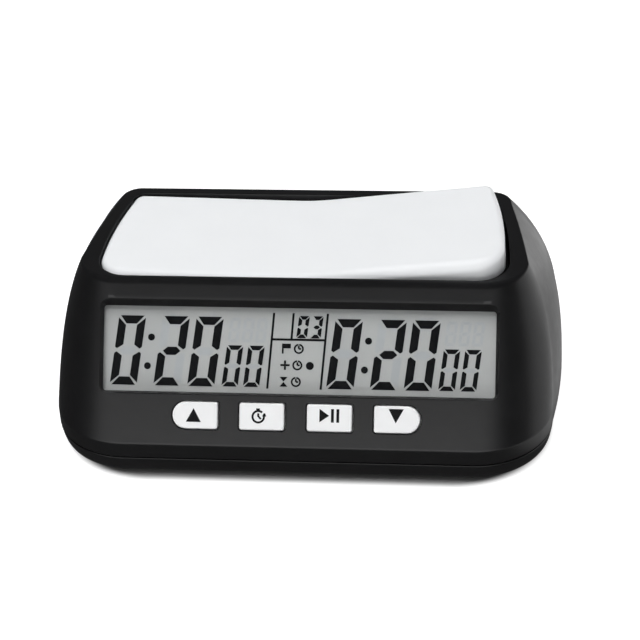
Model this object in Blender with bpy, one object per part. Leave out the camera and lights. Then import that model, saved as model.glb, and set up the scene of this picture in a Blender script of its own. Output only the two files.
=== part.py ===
"""Digital chess clock: two-part plastic housing, white rocker, sloped display panel with four keys.

All sizes below are in millimetres. X runs to the right, Y to the back, Z up. The origin is on the
table under the middle of the clock. MM turns them into Blender's metres.
"""
import math

import bmesh
import bpy
from mathutils import Matrix, Vector

MM = 0.001
GAP = 0.3                     # clearance between neighbouring pieces

# ---------------------------------------------------------------- driving dimensions
HALF_DEPTH = 45.2             # body, front and back, at the seam
FOOT_HEIGHT = 1.0
SEAM_Z = 7.0                  # joint line between the two housings
CREASE_Z = 12.2               # foot of the sloped panel
DECK_Z = 52.0                 # flat top around the rocker
WALL = 2.2
PANEL_TILT = 54.0             # slope of the display panel, degrees from level
FOLD_RADIUS = 3.0             # rounding between the panel and the deck

# half widths and corner radii of the body, at the deck and at the seam
DECK_HALF = (67.5, 64.7, 61.2)
SEAM_HALF = (75.5, 77.7, 76.1)
DECK_BACK_Y = 35.7
DECK_RADII = (12.0, 6.1)
SEAM_RADII = (23.5, 15.2)
SIDE_BULGE = 2.74             # how full the side walls are between seam and deck
BACK_BULGE = 2.0
BASE_TUCK = 2.4               # how far the base draws in at its bottom edge

# rocker, in its middle position
ROCKER_HALF = (61.0, 59.9, 56.7)
ROCKER_Y = (-13.2, 31.7)
ROCKER_RADII = (8.5, 3.5)
ROCKER_WING = 4.0             # rise of each wing from the valley, degrees
ROCKER_TILT = 2.75            # swing to each side, degrees
ROCKER_VALLEY_Z = 51.2
ROCKER_VALLEY_HALF = 6.0      # half width of the rounded valley
ROCKER_SKIRT_Z = 48.0
ROCKER_SKIN = 2.0
ROCKER_WALL = 1.8
POCKET_GAP = 0.9
POCKET_FLOOR_Z = 44.7
POCKET_SKIN = 1.2
TROUGH_FLOOR_Z = 40.9
TROUGH_Y = (-5.0, 29.5)
TROUGH_HALF = 5.0
TROUGH_WALL = 1.5

AXLE_Z = 44.6
PIN_RADIUS = 1.25
LUG_RADIUS = 3.0
LUG_CENTRES_Y = (0.0, 24.0)
LUG_WIDTH = 5.0
LEG_X = 48.0
LEG_Y = 10.8
LEG_SIZE = 4.0
LEG_FOOT_Z = 46.45
LEG_CLEARANCE = 1.6           # around each leg where it passes through the pocket floor

# display and keys: x, distance up the panel from the crease, and depth behind its face
FRAME_HALF = 60.3
FRAME_SPAN = (15.2, 43.4)
OPENING_HALF = 58.5
OPENING_SPAN = (15.9, 41.2)
PANE_DEPTH = (2.5, 3.3)
LCD_DEPTH = (3.6, 5.4)
ZEBRA_DEPTH = (5.7, 8.3)
BOARD_DEPTH = (8.6, 10.2)
KEY_SPAN = (5.1, 13.0)
INNER_KEY_X = (3.4, 16.75)
OUTER_KEY_X = (23.3, 36.8)
KEY_PROUD = 0.9
KEY_STEM_DEPTH = 3.9
KEY_GAP = 0.35
KEY_FLANGE = 0.8              # the lip behind the panel that holds a key in
KEY_S = sum(KEY_SPAN) / 2

SCREW_SPOTS = {"front_left": (-55.0, -37.5), "front_right": (55.0, -37.5),
               "back_left": (-50.0, 36.0), "back_right": (50.0, 36.0)}
FOOT_SPOTS = {"front_left": (-62.0, -24.0), "front_right": (62.0, -24.0),
              "back_left": (-62.0, 32.0), "back_right": (62.0, 32.0)}
BOARD_SCREWS = {"lower_left": (-63.4, 12.0), "lower_right": (63.4, 12.0),
                "upper_left": (-63.4, 34.0), "upper_right": (63.4, 34.0)}
SWITCH_SCREW_X = 35.0         # screws that hold the rocker's switch board, left and right
SCREW_POST_RADIUS = 3.0
SCREW_BORE_RADIUS = 1.6
BOARD_POST_RADIUS = 2.2
SWITCH_POST_RADIUS = 2.5
SMALL_BORE_RADIUS = 1.2       # bores for the board screws
BOARD_HOLE_RADIUS = 1.4

HEAD_SEAT_Z = 4.1             # seat of the housing screw heads
HEAD_BORE_RADIUS = 2.9
COLUMN_RADIUS = 4.0           # columns in the base that carry the screw heads
FOOT_RADII = (4.1, 4.5)       # at the table and inside the recess
FOOT_RECESS_RADIUS = 4.8
FOOT_RECESS_Z = 2.0
FOOT_PAD = (6.3, 4.2)         # thickened floor over each foot: radius and top

BATTERY_Y = 17.0
BATTERY_Z = 11.2
BATTERY_RADIUS = 7.25
BATTERY_X = (-24.3, 26.2)
BAY_HALF = (29.6, 8.1)        # inside half length and half width
BAY_ROOF_Z = 19.2
BAY_WALL = 1.5
BAY_SKIN = 1.4
CONTACT_X = 28.2              # wire slots in the bay roof, left and right
DOOR_HINGE_Y = 27.3
DOOR_FRONT_Y = 6.7
DOOR_Z = (FOOT_HEIGHT, 3.0)
DOOR_LENGTH = 61.4
DOOR_GROOVES = (5, 1.6)       # count and pitch of the finger grooves
NOTCH_HALF = 6.0              # finger notch in front of the door
FLOOR_TOP_Z = 3.2

SWITCH_BOARD_Z = (37.4, 39.0)
POWER_X = 48.0
POWER_Y = 17.0
POWER_SLOT = (4.6, 1.9)       # half sizes
POWER_RECESS = (6.5, 3.4)

# ---------------------------------------------------------------- materials
COLOURS = {
    "housing_black": ((0.018, 0.018, 0.020), 0.48, 0.0),
    "rocker_white": ((0.86, 0.87, 0.88), 0.30, 0.0),
    "key_white": ((0.88, 0.88, 0.88), 0.35, 0.0),
    "window_clear": ((0.80, 0.83, 0.83), 0.05, 0.0),
    "lcd_grey": ((0.47, 0.48, 0.47), 0.25, 0.0),
    "steel": ((0.62, 0.62, 0.63), 0.30, 1.0),
    "rubber_grey": ((0.05, 0.05, 0.05), 0.85, 0.0),
    "silicone": ((0.55, 0.12, 0.10), 0.70, 0.0),
    "circuit_green": ((0.02, 0.16, 0.06), 0.40, 0.0),
    "epoxy_black": ((0.010, 0.010, 0.010), 0.35, 0.0),
    "switch_black": ((0.020, 0.020, 0.020), 0.45, 0.0),
    "battery_sleeve": ((0.10, 0.22, 0.42), 0.35, 0.0),
    "wire_red": ((0.50, 0.02, 0.02), 0.50, 0.0),
    "wire_black": ((0.015, 0.015, 0.015), 0.50, 0.0),
    "cable_grey": ((0.35, 0.35, 0.36), 0.55, 0.0),
}


def material(name):
    """Return the named Principled material, making it once."""
    found = bpy.data.materials.get(name)
    if found:
        return found
    colour, roughness, metallic = COLOURS[name]
    made = bpy.data.materials.new(name)
    made.use_nodes = True
    shader = made.node_tree.nodes["Principled BSDF"]
    shader.inputs["Base Color"].default_value = (*colour, 1.0)
    shader.inputs["Roughness"].default_value = roughness
    shader.inputs["Metallic"].default_value = metallic
    return made


# ---------------------------------------------------------------- scene set-up
for old in list(bpy.data.objects):
    bpy.data.objects.remove(old, do_unlink=True)

PARTS = bpy.data.collections.new("chess_clock")
CUTTERS = bpy.data.collections.new("chess_clock_cutters")
bpy.context.scene.collection.children.link(PARTS)
bpy.context.scene.collection.children.link(CUTTERS)


def empty(name, location=(0, 0, 0), rotation=(0, 0, 0)):
    """An axis or reference frame, placed in millimetres and degrees."""
    marker = bpy.data.objects.new(name, None)
    marker.location = Vector(location) * MM
    marker.rotation_euler = [math.radians(angle) for angle in rotation]
    PARTS.objects.link(marker)
    return marker


PANEL = empty("panel_frame", (0, -HALF_DEPTH, CREASE_Z), (PANEL_TILT, 0, 0))
AXLE = empty("rocker_axis", (0, 0, AXLE_Z), (0, -ROCKER_TILT, 0))


def finish(name, mesh, look=None, parent=None):
    """Make an object from a mesh. With a look it is a part, without one a cutter."""
    thing = bpy.data.objects.new(name, mesh)
    if look:
        PARTS.objects.link(thing)
        mesh.materials.append(material(look))
        for polygon in mesh.polygons:
            polygon.use_smooth = True
        mesh.set_sharp_from_angle(angle=math.radians(35))
    else:
        CUTTERS.objects.link(thing)
        thing.hide_render = True
        thing.display_type = "WIRE"
    thing.parent = parent
    return thing


def combine(thing, other, operation):
    """Leave a live Boolean on an object."""
    change = thing.modifiers.new(operation.lower() + "_" + other.name, "BOOLEAN")
    change.object = other
    change.operation = operation
    change.solver = "EXACT"


def cut(thing, *cutters):
    for cutter in cutters:
        combine(thing, cutter, "DIFFERENCE")


def join(thing, *others):
    for other in others:
        combine(thing, other, "UNION")


# ---------------------------------------------------------------- basic solids
def box(name, low, high, look=None, parent=None):
    """A box between two corners, in the parent's axes."""
    shape = bmesh.new()
    bmesh.ops.create_cube(shape, size=1.0)
    size = [(b - a) * MM for a, b in zip(low, high)]
    middle = [(a + b) / 2 * MM for a, b in zip(low, high)]
    bmesh.ops.transform(shape, matrix=Matrix.Translation(middle) @ Matrix.Diagonal((*size, 1)),
                        verts=shape.verts)
    mesh = bpy.data.meshes.new(name)
    shape.to_mesh(mesh)
    shape.free()
    return finish(name, mesh, look, parent)


def rod(name, start, end, radius, look=None, parent=None, sides=24, end_radius=None):
    """A cylinder or cone between two points."""
    start, end = Vector(start) * MM, Vector(end) * MM
    run = end - start
    turn = run.to_track_quat("Z", "Y").to_matrix().to_4x4()
    shape = bmesh.new()
    top = radius if end_radius is None else end_radius
    bmesh.ops.create_cone(shape, cap_ends=True, segments=sides, radius1=radius * MM, radius2=top * MM,
                          depth=run.length, matrix=Matrix.Translation((start + end) / 2) @ turn)
    mesh = bpy.data.meshes.new(name)
    shape.to_mesh(mesh)
    shape.free()
    return finish(name, mesh, look, parent)


def loft(name, loops, look=None, parent=None):
    """Skin equal-count loops, lowest first and counter-clockwise seen from above, and cap the ends."""
    shape = bmesh.new()
    rings = [[shape.verts.new(Vector(point) * MM) for point in loop] for loop in loops]
    count = len(rings[0])
    for lower, upper in zip(rings, rings[1:]):
        for i in range(count):
            j = (i + 1) % count
            shape.faces.new((lower[i], lower[j], upper[j], upper[i]))
    shape.faces.new(reversed(rings[0]))
    shape.faces.new(rings[-1])
    mesh = bpy.data.meshes.new(name)
    shape.to_mesh(mesh)
    shape.free()
    return finish(name, mesh, look, parent)


def curve_mesh(name, curve, look=None, parent=None, rotation=(0, 0, 0), location=(0, 0, 0)):
    """Turn a curve's evaluated shape into a welded mesh object and drop the curve."""
    holder = bpy.data.objects.new(name + "_curve", curve)
    CUTTERS.objects.link(holder)
    holder.rotation_euler = [math.radians(angle) for angle in rotation]
    holder.location = Vector(location) * MM
    bpy.context.view_layer.update()
    ready = holder.evaluated_get(bpy.context.evaluated_depsgraph_get())
    mesh = bpy.data.meshes.new_from_object(ready)
    mesh.transform(holder.matrix_world)
    bpy.data.objects.remove(holder, do_unlink=True)
    shape = bmesh.new()
    shape.from_mesh(mesh)
    bmesh.ops.remove_doubles(shape, verts=shape.verts, dist=1e-6)
    shape.to_mesh(mesh)
    shape.free()
    mesh.name = name
    return finish(name, mesh, look, parent)


def outline_curve(name, outline, thickness):
    """A filled, extruded flat curve."""
    curve = bpy.data.curves.new(name, "CURVE")
    curve.dimensions = "2D"
    curve.fill_mode = "BOTH"
    curve.extrude = thickness / 2 * MM
    line = curve.splines.new("POLY")
    line.points.add(len(outline) - 1)
    for point, (x, y) in zip(line.points, outline):
        point.co = (x * MM, y * MM, 0, 1)
    line.use_cyclic_u = True
    return curve


def plate(name, outline, low, high, look=None, parent=None):
    """A flat outline in X and Y, extruded from low to high in Z."""
    curve = outline_curve(name, outline, high - low)
    return curve_mesh(name, curve, look, parent, location=(0, 0, (low + high) / 2))


def wire(name, path, radius, look):
    """A round wire along a line of many points."""
    curve = bpy.data.curves.new(name, "CURVE")
    curve.dimensions = "3D"
    curve.bevel_depth = radius * MM
    curve.bevel_resolution = 1
    curve.use_fill_caps = True
    line = curve.splines.new("POLY")
    line.points.add(len(path) - 1)
    for point, place in zip(line.points, path):
        point.co = (*(place * MM), 1)
    return curve_mesh(name, curve, look)


def smooth_path(points, steps=5):
    """Points along a Catmull-Rom line through a few places."""
    points = [Vector(point) for point in points]
    padded = [points[0]] + points + [points[-1]]
    path = []
    for a, b, c, d in zip(padded, padded[1:], padded[2:], padded[3:]):
        for i in range(steps):
            t = i / steps
            path.append(0.5 * (2 * b + (c - a) * t + (2 * a - 5 * b + 4 * c - d) * t ** 2
                               + (3 * b - a - 3 * c + d) * t ** 3))
    return path + [points[-1]]


# ---------------------------------------------------------------- outlines
def arc(centre, radius, start, end, steps):
    angles = [math.radians(start + (end - start) * i / steps) for i in range(steps + 1)]
    return [(centre[0] + radius * math.cos(a), centre[1] + radius * math.sin(a)) for a in angles]


def keystone(halves, front, back, radii, corner_steps=(8, 6), side_steps=5):
    """Outline with straight front and back, bowed sides and round corners, counter-clockwise.

    halves holds the half width behind the front corner, half way back, and before the back corner.
    """
    fore, middle, aft = halves
    front_radius, back_radius = radii
    right = arc((fore - front_radius, front + front_radius), front_radius, -90, 0, corner_steps[0])
    start, end = front + front_radius, back - back_radius
    for i in range(1, side_steps):
        t = i / side_steps
        x = fore * (1 - t) * (1 - 2 * t) + middle * 4 * t * (1 - t) + aft * t * (2 * t - 1)
        right.append((x, start + (end - start) * t))
    right += arc((aft - back_radius, back - back_radius), back_radius, 0, 90, corner_steps[1])
    return right + [(-x, y) for x, y in reversed(right)]


def round_rect(x_span, y_span, radius, steps=4, far_radius=None):
    """Rectangle with round corners, counter-clockwise. far_radius rounds the corners at the high x end."""
    far = radius if far_radius is None else far_radius
    (x0, x1), (y0, y1) = x_span, y_span
    return (arc((x1 - far, y0 + far), far, -90, 0, steps)
            + arc((x1 - far, y1 - far), far, 0, 90, steps)
            + arc((x0 + radius, y1 - radius), radius, 90, 180, steps)
            + arc((x0 + radius, y0 + radius), radius, 180, 270, steps))


def at_height(outline, z):
    return [(x, y, z) for x, y in outline]


def mix(a, b, share):
    return a + (b - a) * share


# ---------------------------------------------------------------- body sections
SLOPE = math.tan(math.radians(PANEL_TILT))
FOLD_Y = -HALF_DEPTH + (DECK_Z - CREASE_Z) / SLOPE
FOLD_RUN = FOLD_RADIUS * math.tan(math.radians(PANEL_TILT / 2))
FOLD_START_Z = DECK_Z - FOLD_RUN * math.sin(math.radians(PANEL_TILT))


def front_y(z):
    """Front face of the body at a height: upright skirt, sloped panel, rounded fold."""
    if z <= CREASE_Z:
        return -HALF_DEPTH
    if z <= FOLD_START_Z:
        return -HALF_DEPTH + (z - CREASE_Z) / SLOPE
    rise = z - (DECK_Z - FOLD_RADIUS)
    return FOLD_Y + FOLD_RUN - math.sqrt(max(FOLD_RADIUS ** 2 - rise ** 2, 0))


def body_section(z, inset=0.0):
    """Outline of the body at a height, drawn in by inset."""
    rise = max(z - SEAM_Z, 0) / (DECK_Z - SEAM_Z)
    side = 1 - rise ** SIDE_BULGE
    rear = 1 - rise ** BACK_BULGE
    tuck = inset + base_tuck(z)
    halves = [mix(top, bottom, side) - tuck for top, bottom in zip(DECK_HALF, SEAM_HALF)]
    back = mix(DECK_BACK_Y, HALF_DEPTH, rear) - tuck
    front_radius = mix(DECK_RADII[0], SEAM_RADII[0], side) - tuck
    back_radius = mix(DECK_RADII[1], SEAM_RADII[1], rear) - tuck
    front = -HALF_DEPTH + tuck
    if z > CREASE_Z and inset == 0:
        front = front_y(z)
    elif inset:
        sloped = -HALF_DEPTH + (z - CREASE_Z) / SLOPE + inset / math.sin(math.radians(PANEL_TILT))
        front = max(front, sloped)
    return at_height(keystone(halves, front, back, (front_radius, back_radius)), z)


def base_tuck(z):
    """The base draws in slightly below the seam and more at its rounded bottom edge."""
    if z >= SEAM_Z:
        return 0.0
    drop = (SEAM_Z - z) / (SEAM_Z - FOOT_HEIGHT)
    return 1.1 * drop + (BASE_TUCK - 1.1) * drop ** 6


def pocket_outline(grow):
    """Plan of the rocker, grown outwards."""
    halves = [half + grow for half in ROCKER_HALF]
    radii = [radius + grow for radius in ROCKER_RADII]
    return keystone(halves, ROCKER_Y[0] - grow, ROCKER_Y[1] + grow, radii, (6, 4), 4)


# ---------------------------------------------------------------- upper housing
def upper_housing():
    heights = (SEAM_Z + GAP / 2, 9.5, CREASE_Z, 17, 22, 27, 32, 37, 41, 44.5, 47.5, 49.5,
               FOLD_START_Z, 51.4, 51.8, DECK_Z)
    shell = loft("upper_housing", [body_section(z) for z in heights], "housing_black")
    hollow_heights = (5, 9, 11.5, 17, 22, 27, 32, 37, 41, 44.5, 47.5, DECK_Z - WALL)
    hollow = loft("upper_hollow", [body_section(z, WALL) for z in hollow_heights])
    cut(hollow, plate("pocket_wall", pocket_outline(POCKET_GAP + 1.0), POCKET_FLOOR_Z - POCKET_SKIN, 51))
    trough_low, trough_high = (-TROUGH_HALF, TROUGH_Y[0], TROUGH_FLOOR_Z), (TROUGH_HALF, TROUGH_Y[1], 50)
    cut(hollow, box("trough_wall", [low - TROUGH_WALL for low in trough_low],
                    (TROUGH_HALF + TROUGH_WALL, TROUGH_Y[1] + TROUGH_WALL, 45)))
    for spot, (x, y) in SCREW_SPOTS.items():
        cut(hollow, rod("post_" + spot, (x, y, 6.4), (x, y, 51), SCREW_POST_RADIUS, sides=16))
    for spot, (x, s) in BOARD_SCREWS.items():
        cut(hollow, rod("board_post_" + spot, (x, s, -BOARD_DEPTH[0] + GAP), (x, s, 1), BOARD_POST_RADIUS,
                        sides=12, parent=PANEL))
    for side in (-1, 1):
        x = SWITCH_SCREW_X * side
        cut(hollow, rod(f"switch_post_{side}", (x, LEG_Y, SWITCH_BOARD_Z[1] + GAP), (x, LEG_Y, 45),
                        SWITCH_POST_RADIUS, sides=12))
    cut(shell, hollow)
    cut(shell, plate("pocket", pocket_outline(POCKET_GAP), POCKET_FLOOR_Z, 60))
    cut(shell, box("trough", trough_low, trough_high))
    cut(shell, rod("pin_bore", (0, TROUGH_Y[0] - 4, AXLE_Z), (0, TROUGH_Y[1] + 3, AXLE_Z), PIN_RADIUS + GAP,
                   sides=20))
    for side in (-1, 1):
        leg_x, post_x = LEG_X * side, SWITCH_SCREW_X * side
        reach = LEG_SIZE / 2 + LEG_CLEARANCE
        cut(shell, box(f"leg_slot_{side}", (leg_x - reach, LEG_Y - reach, 40), (leg_x + reach, LEG_Y + reach, 47)))
        cut(shell, rod(f"switch_post_bore_{side}", (post_x, LEG_Y, 36), (post_x, LEG_Y, 43), SMALL_BORE_RADIUS,
                       sides=12))
    cut(shell, window_recess())
    cut(shell, box("pane_seat", (-61.1, 14.0, -PANE_DEPTH[1] - GAP), (61.1, 43.5, -2.1), parent=PANEL))
    cut(shell, box("lcd_seat", (-60.3, 14.2, -LCD_DEPTH[1] - GAP), (60.3, 42.2, -3.0), parent=PANEL))
    for name, outline in key_outlines().items():
        cut(shell, plate(name + "_aperture", outline(KEY_GAP), -6, 3, parent=PANEL))
    for spot, (x, y) in SCREW_SPOTS.items():
        cut(shell, rod("screw_bore_" + spot, (x, y, 5), (x, y, 15.5), SCREW_BORE_RADIUS, sides=12))
    for spot, (x, s) in BOARD_SCREWS.items():
        cut(shell, rod("board_bore_" + spot, (x, s, -10), (x, s, -3.2), SMALL_BORE_RADIUS, sides=12, parent=PANEL))
    return shell


def window_recess():
    """The flared display opening: wider at the panel's face than behind it."""
    inner = round_rect((-OPENING_HALF, OPENING_HALF), OPENING_SPAN, 0.8)
    outer = round_rect((-FRAME_HALF, FRAME_HALF), FRAME_SPAN, 3.0)
    return loft("window_recess", [at_height(inner, -WALL - 4), at_height(inner, -WALL),
                                  at_height(outer, 0), at_height(outer, 4)], parent=PANEL)


# ---------------------------------------------------------------- lower housing
def lower_housing():
    heights = (FOOT_HEIGHT, 1.3, 1.8, 2.6, 4.5, SEAM_Z - GAP / 2)
    shell = loft("lower_housing", [body_section(z) for z in heights], "housing_black")
    lip = loft("lip", [body_section(z, WALL + GAP) for z in (5.0, SEAM_Z, 8.8)])
    join(shell, lip)
    hollow = loft("lower_hollow", [body_section(z, WALL + GAP + 1.2) for z in (FLOOR_TOP_Z, 6.0, 12.0)])
    for spot, (x, y) in SCREW_SPOTS.items():
        column_top = HEAD_SEAT_Z + 2.0
        cut(hollow, rod("column_" + spot, (x, y, 2), (x, y, column_top), COLUMN_RADIUS, sides=20))
        cut(shell, rod("clearance_" + spot, (x, y, column_top + 0.05), (x, y, 12), SCREW_POST_RADIUS + GAP,
                       sides=20))
    bay_x, bay_y, bay_top = BAY_HALF[0] + BAY_WALL, BAY_HALF[1] + BAY_WALL, BAY_ROOF_Z + BAY_SKIN
    cut(hollow, box("bay_block", (-bay_x, BATTERY_Y - bay_y, 2), (bay_x, BATTERY_Y + bay_y, bay_top)))
    for spot, (x, y) in FOOT_SPOTS.items():
        cut(hollow, rod("foot_pad_" + spot, (x, y, 2), (x, y, FOOT_PAD[1]), FOOT_PAD[0], sides=24))
    cut(shell, hollow)
    join(shell, box("bay_top", (-bay_x, BATTERY_Y - bay_y, 4), (bay_x, BATTERY_Y + bay_y, bay_top)))
    cut(shell, box("bay", (-BAY_HALF[0], BATTERY_Y - BAY_HALF[1], 0),
                   (BAY_HALF[0], BATTERY_Y + BAY_HALF[1], BAY_ROOF_Z)))
    door_half, door_back = DOOR_LENGTH / 2 + GAP, DOOR_HINGE_Y + (DOOR_Z[1] - DOOR_Z[0]) / 2 + 0.4
    cut(shell, box("door_recess", (-door_half, DOOR_FRONT_Y - GAP - 0.1, 0), (door_half, door_back, DOOR_Z[1] + GAP)))
    cut(shell, box("door_notch", (-NOTCH_HALF, DOOR_FRONT_Y - 3.4, 0), (NOTCH_HALF, DOOR_FRONT_Y, 2.0)))
    for side in (-1, 1):
        x = CONTACT_X * side
        cut(shell, box(f"wire_slot_{side}", (x - 0.9, BATTERY_Y - 1.6, BAY_ROOF_Z - 1),
                       (x + 0.9, BATTERY_Y + 1.6, BAY_ROOF_Z + 3)))
    for name, (half_x, half_y), top in (("power_slot", POWER_SLOT, 5), ("power_recess", POWER_RECESS, 1.9)):
        cut(shell, box(name, (POWER_X - half_x, POWER_Y - half_y, 0), (POWER_X + half_x, POWER_Y + half_y, top)))
    for spot, (x, y) in SCREW_SPOTS.items():
        cut(shell, rod("head_bore_" + spot, (x, y, 0), (x, y, HEAD_SEAT_Z + GAP), HEAD_BORE_RADIUS, sides=20))
        cut(shell, rod("shank_bore_" + spot, (x, y, 0), (x, y, 8), SCREW_BORE_RADIUS, sides=12))
    for spot, (x, y) in FOOT_SPOTS.items():
        cut(shell, rod("foot_recess_" + spot, (x, y, 0), (x, y, FOOT_RECESS_Z), FOOT_RECESS_RADIUS, sides=24))
    return shell


def battery_door():
    """A flap that tilts out about its rounded back edge."""
    low, high = DOOR_Z
    radius = (high - low) / 2
    reach = DOOR_HINGE_Y - DOOR_FRONT_Y
    profile = [(-reach, -radius)] + arc((0, 0), radius, -90, 90, 8) + [(-reach, radius)]
    hinge = empty("battery_door_hinge", (0, DOOR_HINGE_Y, low + radius))
    curve = outline_curve("battery_door", profile, DOOR_LENGTH)
    door = curve_mesh("battery_door", curve, "housing_black", hinge, rotation=(90, 0, 90))
    count, pitch = DOOR_GROOVES
    for i in range(count):
        y = 2.8 - reach + pitch * i
        cut(door, box(f"door_groove_{i}", (-7, y, -2), (7, y + 0.7, 0.4 - radius), parent=hinge))
    return door


# ---------------------------------------------------------------- rocker
def wing_profile(lift, floor):
    """Rocker section along X: two wings that rise from a rounded valley, above a level floor."""
    rise, valley, end, steps = math.tan(math.radians(ROCKER_WING)), ROCKER_VALLEY_HALF, 70.0, 14
    points = [(-end, floor), (end, floor)]
    for x in [end] + [valley * (1 - 2 * i / steps) for i in range(steps + 1)] + [-end]:
        height = abs(x) if abs(x) >= valley else (x * x / valley + valley) / 2
        points.append((x, ROCKER_VALLEY_Z + rise * (height - valley / 2) + lift))
    return points


def wing_prism(name, lift, floor, look=None):
    curve = outline_curve(name, [(x, z - AXLE_Z) for x, z in wing_profile(lift, floor)], 80)
    return curve_mesh(name, curve, look, AXLE, rotation=(90, 0, 0), location=(0, sum(ROCKER_Y) / 2, 0))


def rocker():
    """The white key: a hollow cap with hinge lugs and two legs, tilted to its left-pressed position."""
    cap = wing_prism("rocker", 0, ROCKER_SKIRT_Z, "rocker_white")
    combine(cap, plate("rocker_plan", pocket_outline(0), 0, 20, parent=AXLE), "INTERSECT")
    inside = wing_prism("rocker_inside", -ROCKER_SKIN, ROCKER_SKIRT_Z - 5)
    combine(inside, plate("rocker_inside_plan", pocket_outline(-ROCKER_WALL), -10, 20, parent=AXLE), "INTERSECT")
    cut(cap, inside)
    for i, y in enumerate(LUG_CENTRES_Y):
        low, high = y - LUG_WIDTH / 2, y + LUG_WIDTH / 2
        lug = rod(f"lug_{i}", (0, low, 0), (0, high, 0), LUG_RADIUS, parent=AXLE)
        join(lug, box(f"lug_web_{i}", (-LUG_RADIUS, low, 0), (LUG_RADIUS, high, 5.6), parent=AXLE))
        join(cap, lug)
    for side in (-1, 1):
        x, reach = LEG_X * side, LEG_SIZE / 2
        join(cap, box(f"leg_{side}", (x - reach, LEG_Y - reach, LEG_FOOT_Z - AXLE_Z),
                      (x + reach, LEG_Y + reach, 8.6), parent=AXLE))
    cut(cap, rod("rocker_bore", (0, -20, 0), (0, 40, 0), PIN_RADIUS + GAP, sides=20, parent=AXLE))
    return cap


def rocker_pin():
    front, back = TROUGH_Y[0] - 2.2, TROUGH_Y[1] + 2.4
    return rod("rocker_pin", (0, front, AXLE_Z), (0, back, AXLE_Z), PIN_RADIUS, "steel", sides=20)


# ---------------------------------------------------------------- display
def display():
    box("display_window", (-60.8, 14.3, -PANE_DEPTH[1]), (60.8, 43.2, -PANE_DEPTH[0]), "window_clear", PANEL)
    box("lcd_glass", (-60, 14.5, -LCD_DEPTH[1]), (60, 41.9, -LCD_DEPTH[0]), "lcd_grey", PANEL)
    box("zebra_strip", (-55, 14.9, -ZEBRA_DEPTH[1]), (55, 17.3, -ZEBRA_DEPTH[0]), "silicone", PANEL)
    board = box("main_board", (-65.5, 4, -BOARD_DEPTH[1]), (65.5, 41, -BOARD_DEPTH[0]), "circuit_green", PANEL)
    for spot in ("front_left", "front_right"):
        x, clearance = SCREW_SPOTS[spot][0], SCREW_POST_RADIUS + 1.0
        cut(board, box("board_notch_" + spot, (x - clearance, 0, -20), (x + clearance, 9.5, 0), parent=PANEL))
    for spot, (x, s) in BOARD_SCREWS.items():
        cut(board, rod("board_hole_" + spot, (x, s, -20), (x, s, 0), BOARD_HOLE_RADIUS, sides=12, parent=PANEL))
        screw("board_screw_" + spot, (x, s, -BOARD_DEPTH[1] - GAP), 2.0, 1.3, 0.9, 5.6, PANEL)
    back_face = -BOARD_DEPTH[1] - GAP
    rod("controller_chip", (14, 25, back_face - 1.8), (14, 25, back_face), 4.6, "epoxy_black", PANEL, 28,
        end_radius=7.0)
    buzzer = rod("buzzer", (-40, 26, -18), (-40, 26, back_face), 6.0, "switch_black", PANEL, 32)
    cut(buzzer, rod("buzzer_hole", (-40, 26, -20), (-40, 26, -16), 1.2, sides=12, parent=PANEL))


def screw(name, seat, head_radius, head_height, shank_radius, length, parent=None):
    """A pan-head screw. The head hangs below the seat and the shank rises from it along local Z."""
    x, y, z = seat
    head = rod(name, (x, y, z - head_height), (x, y, z), head_radius * 0.8, "steel", parent, 20,
               end_radius=head_radius)
    join(head, rod(name + "_shank", (x, y, z - 0.1), (x, y, z + length), shank_radius, sides=12, parent=parent))
    for turn in (0, 1):
        long, short = head_radius * 0.55, head_radius * 0.13
        reach = (long, short) if turn else (short, long)
        cut(head, box(f"{name}_cross_{turn}", (x - reach[0], y - reach[1], z - head_height - 1),
                      (x + reach[0], y + reach[1], z - head_height * 0.45), parent=parent))
    return head


# ---------------------------------------------------------------- keys and their switches
def key_outlines():
    """Name to a function that gives the key's outline, grown by an amount."""
    inner, outer = INNER_KEY_X, OUTER_KEY_X

    def make(span, round_end, mirrored):
        def grown(grow):
            far = 3.7 if round_end else 1.2
            shape = round_rect((span[0] - grow, span[1] + grow), (KEY_SPAN[0] - grow, KEY_SPAN[1] + grow),
                               1.2 + grow, 4, far + grow)
            return [(-x, y) for x, y in reversed(shape)] if mirrored else shape
        return grown
    return {"up_key": make(outer, True, True), "timer_key": make(inner, False, True),
            "pause_key": make(inner, False, False), "down_key": make(outer, True, False)}


def keys():
    edge = 0.4
    for name, outline in key_outlines().items():
        middle = sum(x for x, _ in outline(0)) / len(outline(0))
        levels = ((KEY_FLANGE, -3.4), (KEY_FLANGE, -2.5), (0.0, -2.5), (0.0, KEY_PROUD - edge), (-edge, KEY_PROUD))
        key = loft(name, [at_height(outline(grow), z) for grow, z in levels], "key_white", PANEL)
        join(key, rod(name + "_stem", (middle, KEY_S, -KEY_STEM_DEPTH), (middle, KEY_S, -3.0), 2.0, sides=16,
                      parent=PANEL))
        tact_switch(name, (middle, KEY_S), -BOARD_DEPTH[0] + GAP, -5.3, -4.2, PANEL)


def tact_switch(name, centre, low, high, plunger_top, parent=None, press=0.0):
    """A square switch body and its round plunger, standing along local Z. press is how far it is pushed in."""
    (x, y), half = centre, 3.0
    plate(name + "_switch", round_rect((x - half, x + half), (y - half, y + half), 0.5, 2), low, high,
          "switch_black", parent)
    rod(name + "_plunger", (x, y, high + GAP - press), (x, y, plunger_top - press), 1.7, "switch_black", parent,
        16)


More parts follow.
